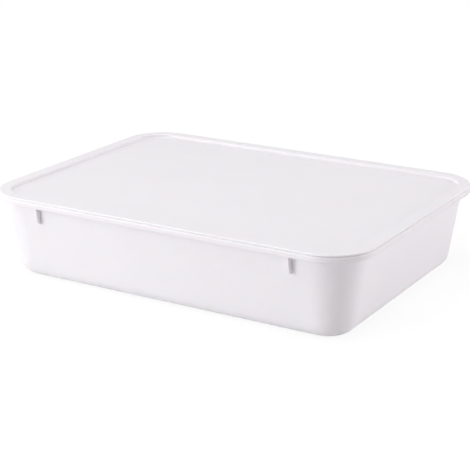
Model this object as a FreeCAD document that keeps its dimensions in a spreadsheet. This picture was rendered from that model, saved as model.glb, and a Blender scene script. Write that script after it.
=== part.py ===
import FreeCAD, Part
import Sketcher
import math
import os

# Dough proofing container: a drafted open tub with a turned-down rim, and a loose lid that drops into it.
# The origin lies on the table under the middle of the tub, +X runs along the long side and +Z is up.

# Driving sizes: millimetres, and degrees where the note says so
SIZES = (
    ("rim_length", "370.8", "rim, outside, along X"),
    ("rim_width", "272.8", "rim, outside, along Y"),
    ("rim_corner", "40", "corner radius of the rim, outside, seen from above"),
    ("rim_reach", "6.55", "from the wall's outside to the rim's outside, at the rim's top"),
    ("rim_thickness", "2.2", "level plate of the rim"),
    ("rim_round", "1.6", "outer top edge of the rim"),
    ("mouth_bevel", "0.8", "inner top edge of the rim"),
    ("lip_height", "5.2", "turned-down lip, from the rim's top to the lip's lower edge"),
    ("lip_thickness", "3.2", "turned-down lip, measured level"),
    ("lip_bevel", "0.3", "outer lower edge of the lip"),
    ("tub_height", "77.2", "from the table to the rim's top"),
    ("wall_draft", "8.5", "lean of the walls from upright, degrees"),
    ("wall_thickness", "2", "walls of the tub, square to their faces"),
    ("floor_thickness", "2.4", "floor of the tub at its standing ring"),
    ("wall_corner", "35.5", "corner radius of the walls, outside, at the rim's top"),
    ("base_round", "14", "round between walls and floor, outside"),
    ("foot_width", "8", "level ring under the floor that the tub stands on"),
    ("foot_height", "0.6", "how far the underside is raised inside that ring"),
    ("gate_width", "12", "round dimple under the floor where the mould was fed"),
    ("gate_depth", "0.4", "that dimple, from the raised underside up"),
    ("nub_width", "3", "round stub in the dimple"),
    ("nub_height", "0.3", "that stub, from the dimple's roof down"),
    ("rib_inset", "17.35", "from where a long wall's straight part ends to the middle of a rib"),
    ("rib_thickness", "2.4", "nesting rib, along X"),
    ("rib_drop", "14.5", "from the lip's lower edge to the rib's outer lower corner"),
    ("rib_toe", "2.4", "how much lower the rib ends at the wall than at its outer edge"),
    ("rib_setback", "2.6", "from the lip's outer face to the rib's outer edge"),
    ("rib_sink", "0.3", "how far a rib runs into the wall and the rim that it grows from"),
    ("rib_round", "0.5", "free edges of the ribs"),
    ("lid_setback", "0.4", "from the rim's outside in to the lid's outside"),
    ("lid_thickness", "1.8", "level outer band of the lid"),
    ("lid_edge_round", "0.8", "outer top edge of the lid"),
    ("lid_under_bevel", "0.4", "outer lower edge of the lid"),
    ("lid_clearance", "2.1", "between the lid's step and the tub's mouth, along the straight walls"),
    ("step_wall", "1.6", "step between the lid's band and panel, measured level"),
    ("step_draft", "6", "lean of that step from upright, degrees"),
    ("step_round", "0.7", "upper and lower edges of that step, seen from above"),
    ("plug_bevel", "0.8", "lower edge of that step, seen from below"),
    ("recess_corner", "25", "corner radius of the recess inside the step, at the band's top"),
    ("plug_corner", "27.8", "corner radius of the step, outside, at the rim's top"),
    ("panel_depth", "2.6", "from the band's top down to the panel's top"),
    ("panel_thickness", "1.8", "recessed panel of the lid"),
)

# Places that several features share, as expressions of the driving sizes
MOUTH_INSET = "(sizes.rim_reach + sizes.wall_thickness / cos(sizes.wall_draft))"
PLUG_INSET = f"({MOUTH_INSET} + sizes.lid_clearance)"
RECESS_INSET = f"({PLUG_INSET} + sizes.step_wall)"
LID_TOP = "sizes.tub_height + sizes.lid_thickness"
LIP_BOTTOM = "(sizes.tub_height - sizes.lip_height)"
RIB_PLACE = "(sizes.rim_length / 2 - sizes.rim_reach - sizes.wall_corner - sizes.rib_inset)"

doc = FreeCAD.newDocument("dough_proofing_container")
sheet = doc.addObject("Spreadsheet::Sheet", "sizes")
for row, (alias, number, note) in enumerate(SIZES, start=1):
    sheet.set(f"A{row}", number)
    sheet.setAlias(f"A{row}", alias)
    sheet.set(f"B{row}", note)
doc.recompute()

# Two levels or places closer than this are the same
SAME = 1e-4


def value(expression):
    """The number that an expression of the sheet's sizes gives now."""
    result = sheet.evalExpression(expression)
    return float(getattr(result, "Value", result))


def new_body(label):
    """A sub-part, whose label names its file."""
    body = doc.addObject("PartDesign::Body", label)
    body.Label = label
    body.Placement = FreeCAD.Placement()
    doc.recompute()
    return body


def origin_plane(body, role):
    """The body's own origin plane with this role."""
    return next(plane for plane in body.Origin.OriginFeatures if plane.Role == role)


def new_sketch(body, name, role, offset):
    """A sketch on one of the body's origin planes, moved along the plane's normal."""
    sketch = body.newObject("Sketcher::SketchObject", name)
    sketch.AttachmentSupport = [(origin_plane(body, role), "")]
    sketch.MapMode = "FlatFace"
    sketch.setExpression("AttachmentOffset.Base.z", offset)
    return sketch


def dimension(sketch, name, expression, kind, *places):
    """A named constraint of the sketch that follows an expression."""
    index = sketch.addConstraint(Sketcher.Constraint(kind, *places, value(expression)))
    sketch.renameConstraint(index, name)
    sketch.setExpression(f"Constraints.{name}", expression)


def rounded_rectangle(sketch, name, length, width, radius):
    """A rounded rectangle about the sketch's origin: four lines joined by four tangent arcs."""
    half_x, half_y, bend = value(length) / 2, value(width) / 2, value(radius)
    axis = FreeCAD.Vector(0, 0, 1)
    sides = []
    for quarter in range(4):
        turn = FreeCAD.Rotation(axis, 90 * quarter)
        across, along = (half_x, half_y) if quarter % 2 else (half_y, half_x)
        start = turn.multVec(FreeCAD.Vector(bend - along, -across, 0))
        end = turn.multVec(FreeCAD.Vector(along - bend, -across, 0))
        centre = turn.multVec(FreeCAD.Vector(along - bend, bend - across, 0))
        from_angle = (quarter - 1) * math.pi / 2
        line = sketch.addGeometry(Part.LineSegment(start, end))
        circle = Part.Circle(centre, axis, bend)
        arc = sketch.addGeometry(Part.ArcOfCircle(circle, from_angle, from_angle + math.pi / 2))
        sides.append((line, arc))
    for quarter, (line, arc) in enumerate(sides):
        next_line = sides[(quarter + 1) % 4][0]
        sketch.addConstraint(Sketcher.Constraint("Tangent", line, 2, arc, 1))
        sketch.addConstraint(Sketcher.Constraint("Tangent", arc, 2, next_line, 1))
        sketch.addConstraint(Sketcher.Constraint("Vertical" if quarter % 2 else "Horizontal", line))
    (front, front_arc), (right, right_arc), (back, back_arc), (left, left_arc) = sides
    for arc in (right_arc, back_arc, left_arc):
        sketch.addConstraint(Sketcher.Constraint("Equal", front_arc, arc))
    sketch.addConstraint(Sketcher.Constraint("Symmetric", front, 1, back, 1, -1, 1))
    dimension(sketch, f"{name}_length", length, "DistanceX", left, 1, right, 1)
    dimension(sketch, f"{name}_width", width, "DistanceY", front, 1, back, 1)
    dimension(sketch, f"{name}_corner", radius, "Radius", front_arc)


def inset_rectangle(sketch, name, inset, corner):
    """The rim's outline moved inwards by an expression."""
    length = f"sizes.rim_length - 2 * ({inset})"
    width = f"sizes.rim_width - 2 * ({inset})"
    rounded_rectangle(sketch, name, length, width, corner)


def extrude(body, kind, name, sketch, length, downwards=False, draft=None):
    """A Pad or Pocket of a sketch, with the sides leaning in by a draft angle."""
    feature = body.newObject(f"PartDesign::{kind}", name)
    feature.Profile = sketch
    feature.setExpression("Length", length)
    feature.Reversed = downwards
    if draft:
        feature.setExpression("TaperAngle", f"-{draft}")
    doc.recompute()
    return feature


def level_faces(shape, level, upwards):
    """The flat faces of a shape at this height that look up, or down."""
    height = value(level)
    faces = []
    for face in shape.Faces:
        box = face.BoundBox
        if abs(box.ZMin - height) < SAME and abs(box.ZMax - height) < SAME:
            if (face.normalAt(0, 0).z > 0) == upwards:
                faces.append(face)
    return faces


def face_loops(shape, level, upwards):
    """The outer loop and the inner loops of edges of the flat face at this height."""
    face = max(level_faces(shape, level, upwards), key=lambda one: one.BoundBox.DiagonalLength)
    inner = [edge for wire in face.Wires if not wire.isSame(face.OuterWire) for edge in wire.Edges]
    return face.OuterWire.Edges, inner


def dress_edges(body, kind, size_name, name, base, edges, size):
    """A Fillet or Chamfer, whose size has this property name, on these edges of the base feature."""
    feature = body.newObject(f"PartDesign::{kind}", name)
    numbered = list(enumerate(base.Shape.Edges, start=1))
    names = [f"Edge{number}" for number, one in numbered if any(one.isSame(edge) for edge in edges)]
    feature.Base = (base, names)
    feature.setExpression(size_name, size)
    doc.recompute()
    return feature


def round_edges(body, name, base, edges, radius):
    """A Fillet on these edges of the base feature."""
    return dress_edges(body, "Fillet", "Radius", name, base, edges, radius)


def bevel_edges(body, name, base, edges, size):
    """An even Chamfer on these edges of the base feature."""
    return dress_edges(body, "Chamfer", "Size", name, base, edges, size)


def hollow_tub(body):
    """The open drafted tray: a solid with leaning sides, hollowed from above to an even wall."""
    outline = new_sketch(body, "wall_outline", "XY_Plane", "sizes.tub_height")
    inset_rectangle(outline, "wall", "sizes.rim_reach", "sizes.wall_corner")
    extrude(body, "Pad", "tub_block", outline, "sizes.tub_height", True, "sizes.wall_draft")

    mouth_outline = new_sketch(body, "mouth_outline", "XY_Plane", "sizes.tub_height")
    mouth_corner = f"sizes.wall_corner + sizes.rim_reach - {MOUTH_INSET}"
    inset_rectangle(mouth_outline, "mouth", MOUTH_INSET, mouth_corner)
    depth = "sizes.tub_height - sizes.floor_thickness"
    cavity = extrude(body, "Pocket", "cavity", mouth_outline, depth, False, "sizes.wall_draft")
    floor_edges, _ = face_loops(cavity.Shape, "sizes.floor_thickness", True)
    inside = round_edges(body, "floor_edge", cavity, floor_edges, "sizes.base_round - sizes.wall_thickness")
    base_edges, _ = face_loops(inside.Shape, "0", False)
    return round_edges(body, "base_edge", inside, base_edges, "sizes.base_round")


def add_rim(body):
    """The rim: a level plate round the mouth and a lip turned down at its outer edge."""
    plate_outline = new_sketch(body, "rim_plate_outline", "XY_Plane", "sizes.tub_height")
    inset_rectangle(plate_outline, "outer", "0", "sizes.rim_corner")
    middle_inset = "(sizes.rim_reach + sizes.wall_thickness / 2)"
    middle_corner = "sizes.wall_corner - sizes.wall_thickness / 2"
    inset_rectangle(plate_outline, "inner", middle_inset, middle_corner)
    extrude(body, "Pad", "rim_plate", plate_outline, "sizes.rim_thickness", True)

    lip_outline = new_sketch(body, "lip_outline", "XY_Plane", "sizes.tub_height")
    inset_rectangle(lip_outline, "outer", "0", "sizes.rim_corner")
    inset_rectangle(lip_outline, "inner", "sizes.lip_thickness", "sizes.rim_corner - sizes.lip_thickness")
    lip = extrude(body, "Pad", "rim_lip", lip_outline, "sizes.lip_height", True)

    outer_edges, _ = face_loops(lip.Shape, "sizes.tub_height", True)
    outer = round_edges(body, "rim_outer_edge", lip, outer_edges, "sizes.rim_round")
    _, mouth_edges = face_loops(outer.Shape, "sizes.tub_height", True)
    mouth = bevel_edges(body, "rim_mouth_edge", outer, mouth_edges, "sizes.mouth_bevel")
    lip_edges, _ = face_loops(mouth.Shape, LIP_BOTTOM, False)
    return bevel_edges(body, "lip_lower_edge", mouth, lip_edges, "sizes.lip_bevel")


def rib_outline(sketch):
    """The side view of the rib on the back wall, and its mirror image on the front wall."""
    lean = "tan(sizes.wall_draft)"
    top = "(sizes.tub_height - sizes.rim_thickness + sizes.rib_sink)"
    nose = f"({LIP_BOTTOM} - sizes.rib_drop)"
    toe = f"({nose} - sizes.rib_toe)"
    outer = "(sizes.rim_width / 2 - sizes.rib_setback)"
    inner_top = "(sizes.rim_width / 2 - sizes.rim_reach - sizes.rib_sink)"
    points = (
        (f"{inner_top} - (sizes.tub_height - {top}) * {lean}", top),
        (outer, top),
        (outer, LIP_BOTTOM),
        (f"{outer} - sizes.rib_drop * {lean}", nose),
        (f"{inner_top} - (sizes.tub_height - {toe}) * {lean}", toe),
    )
    spots = [(value(across), value(height)) for across, height in points]
    sides = {}
    for side in (1, -1):
        corners = [FreeCAD.Vector(side * across, height, 0) for across, height in spots]
        pairs = zip(corners, corners[1:] + corners[:1])
        sides[side] = [sketch.addGeometry(Part.LineSegment(start, end)) for start, end in pairs]
        for line, next_line in zip(sides[side], sides[side][1:] + sides[side][:1]):
            sketch.addConstraint(Sketcher.Constraint("Coincident", line, 2, next_line, 1))
    for number, (across, height) in enumerate(points):
        line, mirror_line = sides[1][number], sides[-1][number]
        dimension(sketch, f"across_{number}", across, "DistanceX", -1, 1, line, 1)
        dimension(sketch, f"height_{number}", height, "DistanceY", -1, 1, line, 1)
        sketch.addConstraint(Sketcher.Constraint("Symmetric", line, 1, mirror_line, 1, -2))


def rib_edges(shape):
    """The free edges of the ribs: below the lip and clear of the wall, by more than the rib's rounds."""
    lean = value("tan(sizes.wall_draft)")
    height = value("sizes.tub_height")
    wall = value("sizes.rim_width / 2 - sizes.rim_reach")
    reach = value("sizes.rib_round")
    lip_bottom = value(LIP_BOTTOM)
    near, far = (value(f"{RIB_PLACE} {sign} sizes.rib_thickness") for sign in "-+")
    edges = []
    for edge in shape.Edges:
        middle = edge.BoundBox.Center
        outside = abs(middle.y) - wall + (height - middle.z) * lean
        if near < abs(middle.x) < far and middle.z < lip_bottom - SAME and outside > reach:
            edges.append(edge)
    return edges


def add_ribs(body):
    """Four nesting ribs: two on the back wall and two on the front, under the rim."""
    outline = new_sketch(body, "rib_outline", "YZ_Plane", RIB_PLACE)
    rib_outline(outline)
    pair = body.newObject("PartDesign::Pad", "rib_pair")
    pair.Profile = outline
    pair.SideType = "Symmetric"
    pair.setExpression("Length", "sizes.rib_thickness")
    doc.recompute()
    ribs = body.newObject("PartDesign::Mirrored", "ribs")
    ribs.Originals = [pair]
    ribs.MirrorPlane = (origin_plane(body, "YZ_Plane"), [""])
    body.Tip = ribs
    doc.recompute()
    return round_edges(body, "rib_rounds", ribs, rib_edges(ribs.Shape), "sizes.rib_round")


def round_sketch(body, name, level, width):
    """A sketch with one circle under the middle of the tub."""
    sketch = new_sketch(body, name, "XY_Plane", level)
    centre, axis = FreeCAD.Vector(0, 0, 0), FreeCAD.Vector(0, 0, 1)
    circle = sketch.addGeometry(Part.Circle(centre, axis, value(width) / 2))
    sketch.addConstraint(Sketcher.Constraint("Coincident", circle, 3, -1, 1))
    dimension(sketch, "width", width, "Diameter", circle)
    return sketch


def raise_underside(body):
    """The shallow recess under the floor that leaves a level ring to stand on, with the mould's gate mark."""
    # The ring starts where the base edge's round ends, in from the corner that walls and floor would make
    lean_in = "sizes.tub_height * tan(sizes.wall_draft)"
    round_in = "sizes.base_round * tan((90 - sizes.wall_draft) / 2)"
    ring_in = f"({lean_in} + {round_in} + sizes.foot_width)"
    outline = new_sketch(body, "underside_outline", "XY_Plane", "0")
    inset_rectangle(outline, "ring", f"sizes.rim_reach + {ring_in}", f"sizes.wall_corner - {ring_in}")
    extrude(body, "Pocket", "underside", outline, "sizes.foot_height", True)
    dimple = round_sketch(body, "gate_outline", "sizes.foot_height", "sizes.gate_width")
    extrude(body, "Pocket", "gate", dimple, "sizes.gate_depth", True)
    roof = "sizes.foot_height + sizes.gate_depth"
    stub = round_sketch(body, "nub_outline", roof, "sizes.nub_width")
    return extrude(body, "Pad", "nub", stub, "sizes.nub_height", True)


def make_tub():
    """The tub in one moulding: tray, rim, nesting ribs and standing ring."""
    body = new_body("tub")
    hollow_tub(body)
    add_rim(body)
    add_ribs(body)
    body.Tip = raise_underside(body)
    return body


def make_lid():
    """The lid in one moulding: a level band that rests on the rim, and a panel that drops into the mouth."""
    body = new_body("lid")
    lid_outline = new_sketch(body, "lid_outline", "XY_Plane", "sizes.tub_height")
    inset_rectangle(lid_outline, "lid", "sizes.lid_setback", "sizes.rim_corner - sizes.lid_setback")
    extrude(body, "Pad", "lid_plate", lid_outline, "sizes.lid_thickness")

    plug_outline = new_sketch(body, "plug_outline", "XY_Plane", "sizes.tub_height")
    inset_rectangle(plug_outline, "plug", PLUG_INSET, "sizes.plug_corner")
    plug_drop = "(sizes.panel_depth + sizes.panel_thickness - sizes.lid_thickness)"
    extrude(body, "Pad", "plug", plug_outline, plug_drop, True, "sizes.step_draft")

    recess_outline = new_sketch(body, "recess_outline", "XY_Plane", LID_TOP)
    inset_rectangle(recess_outline, "recess", RECESS_INSET, "sizes.recess_corner")
    recess = extrude(body, "Pocket", "recess", recess_outline, "sizes.panel_depth", False, "sizes.step_draft")

    panel_top = f"{LID_TOP} - sizes.panel_depth"
    panel_edges, _ = face_loops(recess.Shape, panel_top, True)
    lower = round_edges(body, "step_lower_edge", recess, panel_edges, "sizes.step_round")
    _, step_edges = face_loops(lower.Shape, LID_TOP, True)
    upper = round_edges(body, "step_upper_edge", lower, step_edges, "sizes.step_round")
    outer_edges, _ = face_loops(upper.Shape, LID_TOP, True)
    outer = round_edges(body, "lid_outer_edge", upper, outer_edges, "sizes.lid_edge_round")
    under_edges, _ = face_loops(outer.Shape, "sizes.tub_height", False)
    under = bevel_edges(body, "lid_under_edge", outer, under_edges, "sizes.lid_under_bevel")
    plug_edges, _ = face_loops(under.Shape, f"sizes.tub_height - {plug_drop}", False)
    body.Tip = bevel_edges(body, "plug_edge", under, plug_edges, "sizes.plug_bevel")
    return body


def check_document(bodies):
    """Stop before anything is written if a feature failed or a sub-part is not one valid solid."""
    doc.recompute()
    for thing in doc.Objects:
        if "Invalid" in thing.State or "Error" in thing.State:
            raise RuntimeError(f"{thing.Label} failed: {thing.State}")
    for body in bodies:
        shape = body.Shape
        if shape.isNull() or not shape.isValid() or len(shape.Solids) != 1:
            raise RuntimeError(f"{body.Label} is not one valid solid")


sub_parts = (make_tub(), make_lid())
check_document(sub_parts)
os.makedirs("parts", exist_ok=True)
for sub_part in sub_parts:
    sub_part.Shape.exportStep(f"parts/{sub_part.Label}.step")
    print(sub_part.Label, sub_part.Shape.BoundBox, "volume", round(sub_part.Shape.Volume))
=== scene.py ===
import math

import bpy
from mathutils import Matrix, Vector


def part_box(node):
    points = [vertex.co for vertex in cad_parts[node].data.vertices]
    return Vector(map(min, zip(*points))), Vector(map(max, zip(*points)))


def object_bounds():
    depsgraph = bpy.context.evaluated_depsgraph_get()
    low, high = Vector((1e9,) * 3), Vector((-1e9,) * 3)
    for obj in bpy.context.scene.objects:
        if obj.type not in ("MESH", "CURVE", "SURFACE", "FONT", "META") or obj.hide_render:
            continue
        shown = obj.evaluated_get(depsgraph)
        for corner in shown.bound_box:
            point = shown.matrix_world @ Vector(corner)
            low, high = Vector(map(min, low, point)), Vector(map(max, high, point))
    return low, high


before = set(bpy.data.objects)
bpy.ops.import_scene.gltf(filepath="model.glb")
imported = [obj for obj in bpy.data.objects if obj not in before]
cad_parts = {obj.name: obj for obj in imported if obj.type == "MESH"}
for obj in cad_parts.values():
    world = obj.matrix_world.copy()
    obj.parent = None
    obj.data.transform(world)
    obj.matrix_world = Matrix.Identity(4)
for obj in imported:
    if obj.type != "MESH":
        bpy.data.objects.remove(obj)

# The CAD box, before anything is added
cad_low, cad_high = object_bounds()
scene = bpy.context.scene
scene.view_settings.view_transform = "Standard"

# Camera, in degrees and metres, with its lens and sensor in millimetres
VIEW_AZIMUTH = 30.81
VIEW_ELEVATION = 18.27
CAMERA_DISTANCE = 1.2646
CAMERA_TARGET = Vector((-0.00127, 0.0, 0.03036))
CAMERA_LENS = 105.17
SENSOR_WIDTH = 36.0

# Studio light: an even room, and soft round lamps by azimuth, elevation, watts and colour
WHITE = (1.0, 1.0, 1.0)
WHITE_LEVEL = 1.0
ROOM_COLOUR = (1.0, 0.92, 0.93)
ROOM_LEVEL = 0.18
LAMP_DISTANCE = 1.8
LAMP_SIZE = 1.2
ROSE_WHITE = (1.0, 0.97, 0.985)
LAMPS = (
    ("left_low", -33.0, 8.0, 15.0, WHITE),
    ("left_high", -33.0, 30.0, 7.2, WHITE),
    ("right_low", 120.0, 8.0, 15.0, ROSE_WHITE),
    ("right_high", 120.0, 30.0, 4.2, ROSE_WHITE),
    ("over_left", -60.0, 60.0, 6.2, WHITE),
    ("over_front", 30.0, 60.0, 2.9, WHITE),
    ("over_back", -150.0, 60.0, 1.2, WHITE),
    ("top", 0.0, 88.0, 7.5, WHITE),
)

# Floor disc in metres: its colour, its glow from near to far, and the share of shading that shows on it
FLOOR_RADIUS = 1.6
FLOOR_SIDES = 96
FLOOR_COLOUR = (0.86, 0.86, 0.86)
FLOOR_GLOW_REACH = (0.25, 0.8)
FLOOR_GLOW_RANGE = (0.86, 0.93)
FLOOR_SHADE_SHARE = 0.2

# Moulded polypropylene: colours of the two pieces, and light scattered inside to a depth in metres
PLASTIC = {"tub": (0.866, 0.849, 0.88), "lid": (0.875, 0.86, 0.89)}
PLASTIC_IOR = 1.49
MILK_SHARE = 0.5
MILK_DEPTH = 0.002
MILK_DEPTH_SHARES = (1.0, 0.85, 0.8)

# Clouds of tone and gloss, mould grain and straight rubs, in metres and radians
CLOUD_SIZE = 0.055
CLOUD_DETAIL = 3.0
CLOUD_TINT_SHARES = (0.972, 0.972, 0.972)
ROUGHNESS_RANGE = (0.36, 0.45)
GRAIN_SIZE = 0.0007
GRAIN_DEPTH = 0.000012
SCUFF_LENGTH = 0.05
SCUFF_WIDTH = 0.0009
SCUFF_ANGLES = (0.35, -0.9)
SCUFF_RANGE = (0.64, 0.74)
SCUFF_DEPTH = 0.000006
SCUFF_ROUGHNESS = 0.1

# Edges, where a rounded normal leaves the true one, worn and partly darkened with painted shade, and
# creases darkened with painted shade, with reaches in metres
EDGE_REACH = 0.0014
EDGE_SAMPLES = 6
EDGE_RANGE = (0.995, 0.93)
# Edge darkening: partly wear, partly painted shade that dims the edges' highlight
EDGE_WEAR_AND_SHADE_SHARES = (0.955, 0.955, 0.955)
EDGE_POLISH = 0.07
CREASE_REACH = 0.005
CREASE_SAMPLES = 8
# Painted shade: darker, slightly warmer inner corners
PAINTED_CREASE_SHADE_SHARES = (0.98, 0.97, 0.955)

# Marks of the tub: wear on its standing ring by height, and painted shade on its lip by depth below the
# rim's top, in metres
FOOT_WEAR_HEIGHT = 0.001
FOOT_WEAR_SIZE = 0.004
FOOT_WEAR_DETAIL = 4.0
FOOT_WEAR_TINT_SHARES = (0.93, 0.93, 0.93)
LIP_SHADE_TOP = (0.0012, 0.0024)
LIP_SHADE_BOTTOM = (0.0050, 0.0053)
LIP_SHADE_SIZE = 0.012
LIP_SHADE_RANGE = (0.7, 1.0)
# Painted shade: a faint grey on the lip's face stands in for shade that falls there
PAINTED_LIP_SHADE_SHARES = (0.952, 0.947, 0.945)

# Noise: its usual detail, the levels that most of it lies between, and its size where the place is scaled
NOISE_DETAIL = 2.0
NOISE_LEVELS = (0.3, 0.7)
NOISE_UNIT = 1.0

# Masks that rise or fall over a range, and the sockets of a Mix node's factor, colours and result
RISING = (0.0, 1.0)
FALLING = (1.0, 0.0)
MIX_INPUTS = (0, 6, 7)
MIX_RESULT = 2


def direction(azimuth, elevation):
    """The unit vector from the object towards a place seen at this azimuth and elevation."""
    a, e = math.radians(azimuth), math.radians(elevation)
    return Vector((math.sin(a) * math.cos(e), -math.cos(a) * math.cos(e), math.sin(e)))


def aim(thing, place, target):
    """Put a camera or lamp at a place, facing a target."""
    thing.location = place
    thing.rotation_mode = "QUATERNION"
    thing.rotation_quaternion = (target - place).to_track_quat("-Z", "Y")


def opaque(colour):
    """A colour of three channels with full alpha, as a node's colour socket takes it."""
    return (*colour, 1.0)


def feed(tree, socket, value):
    """Set a socket to a value, or link it where the value is another socket."""
    if isinstance(value, bpy.types.NodeSocket):
        tree.links.new(value, socket)
    else:
        socket.default_value = value


def new_node(tree, kind, **values):
    """A node with its settings, socket values and links, where underscores stand for spaces in names."""
    node = tree.nodes.new(kind)
    for name, value in values.items():
        socket = node.inputs.get(name.replace("_", " "))
        if socket is None:
            setattr(node, name, value)
        else:
            feed(tree, socket, value)
    return node


def combine(tree, operation, first, second):
    """A sum, product or the like of two grey values, each a number or a socket."""
    node = new_node(tree, "ShaderNodeMath", operation=operation)
    for socket, value in zip(node.inputs, (first, second)):
        feed(tree, socket, value)
    return node.outputs[0]


def spread(tree, source, given, wanted):
    """A grey value mapped from one range to another, and held within it."""
    node = new_node(tree, "ShaderNodeMapRange", Value=source, From_Min=given[0], From_Max=given[1],
                    To_Min=wanted[0], To_Max=wanted[1])
    return node.outputs["Result"]


def tint(tree, colour, mask, shares):
    """A colour multiplied by these shares of red, green and blue where a mask is one."""
    node = new_node(tree, "ShaderNodeMix", data_type="RGBA", blend_type="MULTIPLY")
    for index, value in zip(MIX_INPUTS, (mask, colour, opaque(shares))):
        feed(tree, node.inputs[index], value)
    return node.outputs[MIX_RESULT]


def noise(tree, place, size, seed, detail=NOISE_DETAIL):
    """Grey noise whose patches measure about this size."""
    node = new_node(tree, "ShaderNodeTexNoise", noise_dimensions="4D", Vector=place, W=seed,
                    Scale=1 / size, Detail=detail)
    return node.outputs["Fac"]


def height_of(tree, place):
    """The height of a place above what the tub stands on."""
    return new_node(tree, "ShaderNodeSeparateXYZ", Vector=place).outputs["Z"]


def show(tree, unseen, seen, output):
    """Join one shader for light that spreads, and another where it is seen, mirrored or looked through."""
    rays = new_node(tree, "ShaderNodeLightPath").outputs
    mirrored = combine(tree, "MAXIMUM", rays["Is Glossy Ray"], rays["Is Transmission Ray"])
    looked_at = combine(tree, "MAXIMUM", rays["Is Camera Ray"], mirrored)
    mix = new_node(tree, "ShaderNodeMixShader", Fac=looked_at)
    tree.links.new(unseen.outputs[0], mix.inputs[1])
    tree.links.new(seen.outputs[0], mix.inputs[2])
    tree.links.new(mix.outputs[0], output.inputs["Surface"])


def make_camera():
    """A camera at the photograph's viewing angle."""
    data = bpy.data.cameras.new("camera")
    data.lens = CAMERA_LENS
    data.sensor_width = SENSOR_WIDTH
    camera = bpy.data.objects.new("camera", data)
    scene.collection.objects.link(camera)
    place = CAMERA_TARGET + direction(VIEW_AZIMUTH, VIEW_ELEVATION) * CAMERA_DISTANCE
    aim(camera, place, CAMERA_TARGET)
    scene.camera = camera


def make_world():
    """A soft even room for light, and plain white where the camera sees it."""
    world = bpy.data.worlds.new("room")
    scene.world = world
    world.use_nodes = True
    tree = world.node_tree
    tree.nodes.clear()
    room = new_node(tree, "ShaderNodeBackground", Color=opaque(ROOM_COLOUR), Strength=ROOM_LEVEL)
    white = new_node(tree, "ShaderNodeBackground", Color=opaque(WHITE), Strength=WHITE_LEVEL)
    show(tree, room, white, new_node(tree, "ShaderNodeOutputWorld"))


def make_lamps():
    """Soft lamps round the object, all facing its middle."""
    target = (cad_low + cad_high) / 2
    for name, azimuth, elevation, level, colour in LAMPS:
        data = bpy.data.lights.new(name, "AREA")
        data.shape = "DISK"
        data.size = LAMP_SIZE
        data.energy = level
        data.color = colour
        lamp = bpy.data.objects.new(name, data)
        scene.collection.objects.link(lamp)
        aim(lamp, target + direction(azimuth, elevation) * LAMP_DISTANCE, target)


def make_floor():
    """A plain pale floor that keeps the object's shadow and looks white where nothing shades it."""
    mesh = bpy.data.meshes.new("floor")
    turns = [math.tau * side / FLOOR_SIDES for side in range(FLOOR_SIDES)]
    points = [(FLOOR_RADIUS * math.cos(turn), FLOOR_RADIUS * math.sin(turn), 0.0) for turn in turns]
    mesh.from_pydata(points, [], [tuple(range(FLOOR_SIDES))])
    floor = bpy.data.objects.new("floor", mesh)
    scene.collection.objects.link(floor)

    material = bpy.data.materials.new("floor_white")
    material.use_nodes = True
    tree = material.node_tree
    tree.nodes.clear()
    matt = new_node(tree, "ShaderNodeBsdfDiffuse", Color=opaque(FLOOR_COLOUR))
    shade_colour = [FLOOR_SHADE_SHARE * channel for channel in FLOOR_COLOUR]
    shade = new_node(tree, "ShaderNodeBsdfDiffuse", Color=opaque(shade_colour))
    place = new_node(tree, "ShaderNodeTexCoord").outputs["Object"]
    reach = new_node(tree, "ShaderNodeVectorMath", operation="LENGTH", Vector=place)
    level = spread(tree, reach.outputs["Value"], FLOOR_GLOW_REACH, FLOOR_GLOW_RANGE)
    glow = new_node(tree, "ShaderNodeEmission", Color=opaque(WHITE), Strength=level)
    seen = new_node(tree, "ShaderNodeAddShader")
    tree.links.new(shade.outputs[0], seen.inputs[0])
    tree.links.new(glow.outputs[0], seen.inputs[1])
    show(tree, matt, seen, new_node(tree, "ShaderNodeOutputMaterial"))
    mesh.materials.append(material)


def scuffs(tree, place, seed):
    """A mask of faint straight rubs, in two directions."""
    scales = (1 / SCUFF_LENGTH, 1 / SCUFF_WIDTH, 1 / SCUFF_WIDTH)
    masks = []
    for angle in SCUFF_ANGLES:
        turned = new_node(tree, "ShaderNodeMapping", Vector=place, Rotation=(0.0, 0.0, angle),
                          Scale=scales)
        grey = noise(tree, turned.outputs[0], NOISE_UNIT, seed)
        masks.append(spread(tree, grey, SCUFF_RANGE, RISING))
    return combine(tree, "MAXIMUM", *masks)


def edges(tree):
    """A mask of edges, where the plastic is polished and its colour is darkened partly as wear and partly
    as painted shade.
    """
    bevel = new_node(tree, "ShaderNodeBevel", samples=EDGE_SAMPLES, Radius=EDGE_REACH)
    surface = new_node(tree, "ShaderNodeNewGeometry")
    agree = new_node(tree, "ShaderNodeVectorMath", operation="DOT_PRODUCT")
    tree.links.new(bevel.outputs[0], agree.inputs[0])
    tree.links.new(surface.outputs["Normal"], agree.inputs[1])
    return spread(tree, agree.outputs["Value"], EDGE_RANGE, RISING)


def painted_crease_shade(tree):
    """A mask of inner corners, for painted shade that darkens and slightly warms them."""
    crease_occlusion = new_node(tree, "ShaderNodeAmbientOcclusion", samples=CREASE_SAMPLES, only_local=True,
                      Distance=CREASE_REACH)
    return combine(tree, "SUBTRACT", 1.0, crease_occlusion.outputs["AO"])


def foot_wear(tree, place, seed):
    """A mask of worn spots on the ring that the tub stands on."""
    low = spread(tree, height_of(tree, place), (0.0, FOOT_WEAR_HEIGHT), FALLING)
    spots = noise(tree, place, FOOT_WEAR_SIZE, seed, FOOT_WEAR_DETAIL)
    return combine(tree, "MULTIPLY", low, spots)


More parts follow.
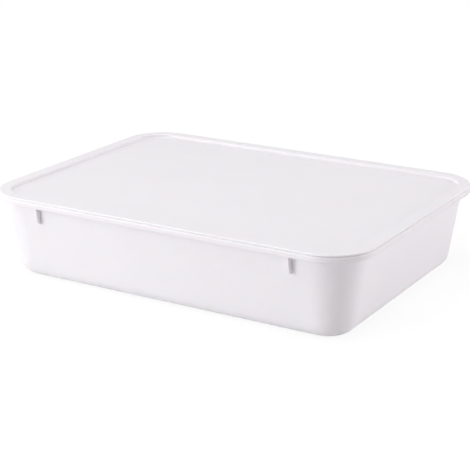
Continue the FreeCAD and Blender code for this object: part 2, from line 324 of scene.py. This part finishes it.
def painted_lip_shade(tree, place, seed):
    """A mask of the lip round the tub's rim, for painted shade that greys it faintly."""
    depth = combine(tree, "SUBTRACT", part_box("tub")[1].z, height_of(tree, place))
    below_top = spread(tree, depth, LIP_SHADE_TOP, RISING)
    above_bottom = spread(tree, depth, LIP_SHADE_BOTTOM, FALLING)
    lip = combine(tree, "MULTIPLY", below_top, above_bottom)
    patches = spread(tree, noise(tree, place, LIP_SHADE_SIZE, seed), NOISE_LEVELS, LIP_SHADE_RANGE)
    return combine(tree, "MULTIPLY", lip, patches)


def moulded_plastic(name, colour, seed, wears_and_shades):
    """Milky satin plastic with clouds of tone, grain, rubs, edges worn and partly darkened with painted
    shade, creases darkened with painted shade, and a piece's own wear and painted shade.
    """
    material = bpy.data.materials.new(name)
    material.use_nodes = True
    tree = material.node_tree
    shader = tree.nodes["Principled BSDF"]
    shader.inputs["IOR"].default_value = PLASTIC_IOR
    shader.inputs["Subsurface Weight"].default_value = MILK_SHARE
    shader.inputs["Subsurface Radius"].default_value = MILK_DEPTH_SHARES
    shader.inputs["Subsurface Scale"].default_value = MILK_DEPTH

    place = new_node(tree, "ShaderNodeTexCoord").outputs["Object"]
    clouds = noise(tree, place, CLOUD_SIZE, seed, CLOUD_DETAIL)
    rubs = scuffs(tree, place, seed)
    edge = edges(tree)

    toned = tint(tree, opaque(colour), clouds, CLOUD_TINT_SHARES)
    # Edges darkened partly as wear and partly as painted shade that dims their highlight
    toned = tint(tree, toned, edge, EDGE_WEAR_AND_SHADE_SHARES)
    # Painted shade in inner corners
    toned = tint(tree, toned, painted_crease_shade(tree), PAINTED_CREASE_SHADE_SHARES)
    # Each piece's own marks: wear on the tub's standing ring, painted shade on its lip
    for wear_and_shade, shares in wears_and_shades:
        toned = tint(tree, toned, wear_and_shade(tree, place, seed), shares)
    tree.links.new(toned, shader.inputs["Base Color"])

    rough = spread(tree, clouds, NOISE_LEVELS, ROUGHNESS_RANGE)
    rough = combine(tree, "ADD", rough, combine(tree, "MULTIPLY", rubs, SCUFF_ROUGHNESS))
    rough = combine(tree, "SUBTRACT", rough, combine(tree, "MULTIPLY", edge, EDGE_POLISH))
    tree.links.new(rough, shader.inputs["Roughness"])

    pores = noise(tree, place, GRAIN_SIZE, seed)
    grain = new_node(tree, "ShaderNodeBump", Height=pores, Distance=GRAIN_DEPTH)
    rubbed = new_node(tree, "ShaderNodeBump", invert=True, Height=rubs, Distance=SCUFF_DEPTH,
                      Normal=grain.outputs[0])
    tree.links.new(rubbed.outputs[0], shader.inputs["Normal"])
    return material


# Each piece's own wear and painted shade, as masks with their tints
WEARS_AND_SHADES = {"tub": ((foot_wear, FOOT_WEAR_TINT_SHARES), (painted_lip_shade, PAINTED_LIP_SHADE_SHARES)), "lid": ()}

make_camera()
make_world()
make_lamps()
make_floor()
for number, (node_name, colour) in enumerate(PLASTIC.items()):
    plastic = moulded_plastic(f"{node_name}_plastic", colour, float(number), WEARS_AND_SHADES[node_name])
    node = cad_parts[node_name]
    node.data.materials.clear()
    node.data.materials.append(plastic)
